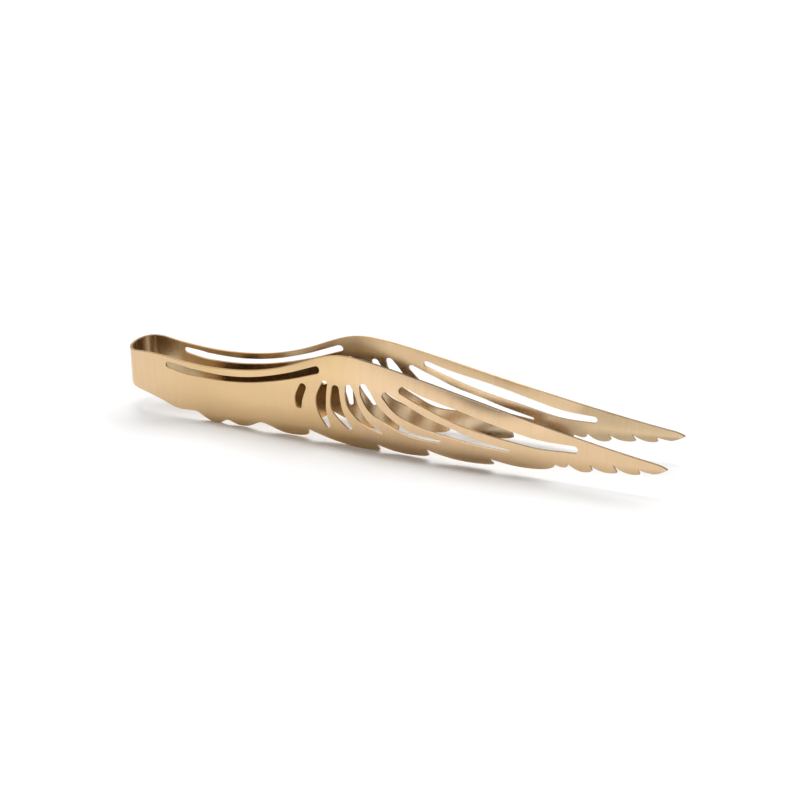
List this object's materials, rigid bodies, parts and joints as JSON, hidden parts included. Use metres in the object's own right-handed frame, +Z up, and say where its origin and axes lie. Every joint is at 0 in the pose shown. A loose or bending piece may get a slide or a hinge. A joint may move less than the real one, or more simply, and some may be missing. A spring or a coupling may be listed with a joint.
{
  "type": "charcoal tongs",
  "caption": "Spring tongs for hot coals: a sheet-metal strip bent into a bow, with two dished, feathered wing arms that close at toothed jaws.",
  "frame": {"origin": "On the table under the middle of the tongs, half way between the outside of the bow and the jaw tips", "axes": "+X along the tongs from the bow to the jaw tips, +Y from the right arm to the left arm, +Z up; the tongs stand on their lower feathers"},
  "size_m": [0.2328, 0.0356, 0.0395],
  "materials": {
    "bow_gold": "satin champagne gold coating on stainless sheet, brushed across the strip",
    "left_arm_gold": "satin champagne gold coating, brushed outside and smoother inside, bright laser-cut edges",
    "right_arm_gold": "satin champagne gold coating, brushed outside and smoother inside, bright laser-cut edges"
  },
  "bodies": {
    "spring_bow": {"spring_bow": "bow_gold"},
    "left_wing_arm": {"left_wing_arm": "left_arm_gold"},
    "right_wing_arm": {"right_wing_arm": "right_arm_gold"}
  },
  "joints": [
    {"name": "left_squeeze", "type": "hinge", "parent": "spring_bow", "child": "left_wing_arm", "pos_m": [-0.10038, 0.0085, 0.02], "axis": [0, 0, -1], "range_deg": [-2.5, 4], "stiffness_Nm_per_rad": 3.8},
    {"name": "right_squeeze", "type": "hinge", "parent": "spring_bow", "child": "right_wing_arm", "pos_m": [-0.10038, -0.0085, 0.02], "axis": [0, 0, 1], "range_deg": [-2.5, 4], "stiffness_Nm_per_rad": 3.8}
  ],
  "couplings": [
    {"joint": "right_squeeze", "follows": "left_squeeze", "ratio": 1}
  ]
}
